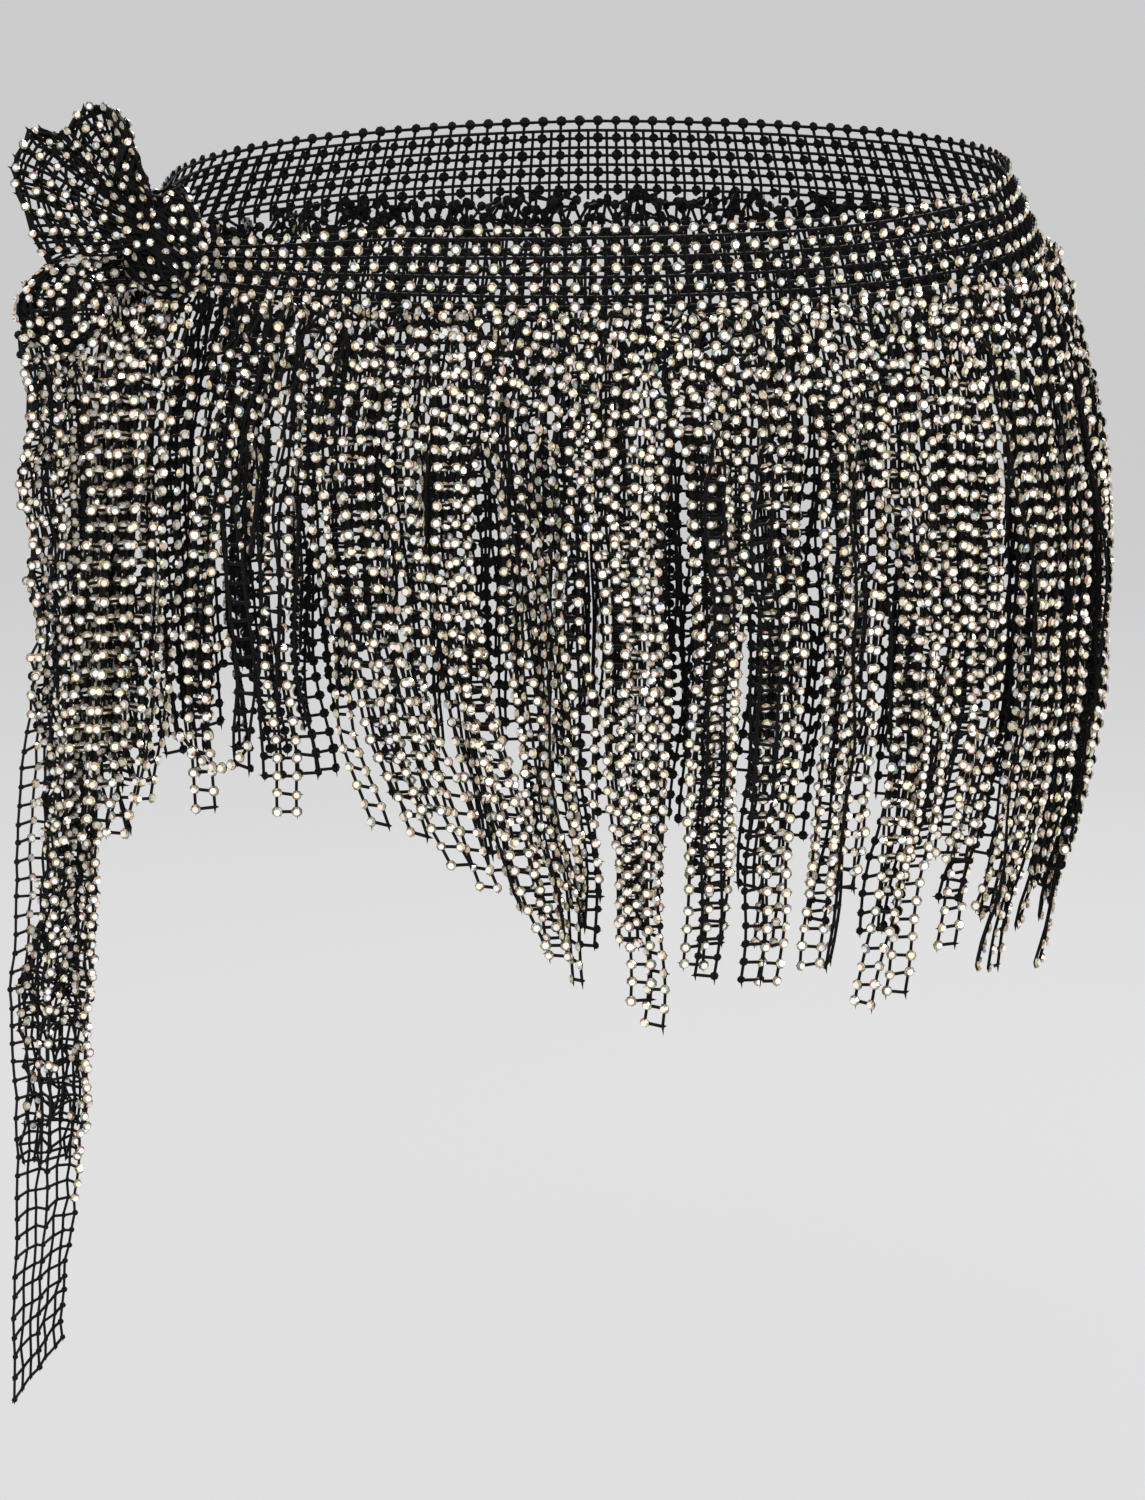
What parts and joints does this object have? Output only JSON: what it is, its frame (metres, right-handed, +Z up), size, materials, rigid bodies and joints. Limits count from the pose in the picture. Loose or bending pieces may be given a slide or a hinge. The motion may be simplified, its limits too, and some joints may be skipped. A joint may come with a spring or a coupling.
{
  "type": "belly dance hip scarf",
  "caption": "Net band tied in a knot at one hip, with a long tail, a spread end and a deep all-round fringe of narrow stone-studded net strips.",
  "frame": {"origin": "middle of the tied band's ring, where the wearer's hips hold it", "axes": "+Z up along the wearer, -Y out of the wearer's front, +X towards the side away from the knot"},
  "size_m": [0.3761, 0.2525, 0.4485],
  "materials": {
    "studded_net": "satin",
    "fringe_net": "satin",
    "bare_net": "matte",
    "crystal": "polished"
  },
  "bodies": {
    "root": {"band_front": "studded_net", "band_back": "studded_net", "fringe_front_inner": "fringe_net", "fringe_front_outer": "fringe_net", "fringe_back_inner": "fringe_net", "fringe_back_outer": "fringe_net", "side_fringe_1": "fringe_net", "side_fringe_2": "fringe_net", "knot": "studded_net", "fan_end": "studded_net", "tail": "bare_net"}
  },
  "joints": []
}
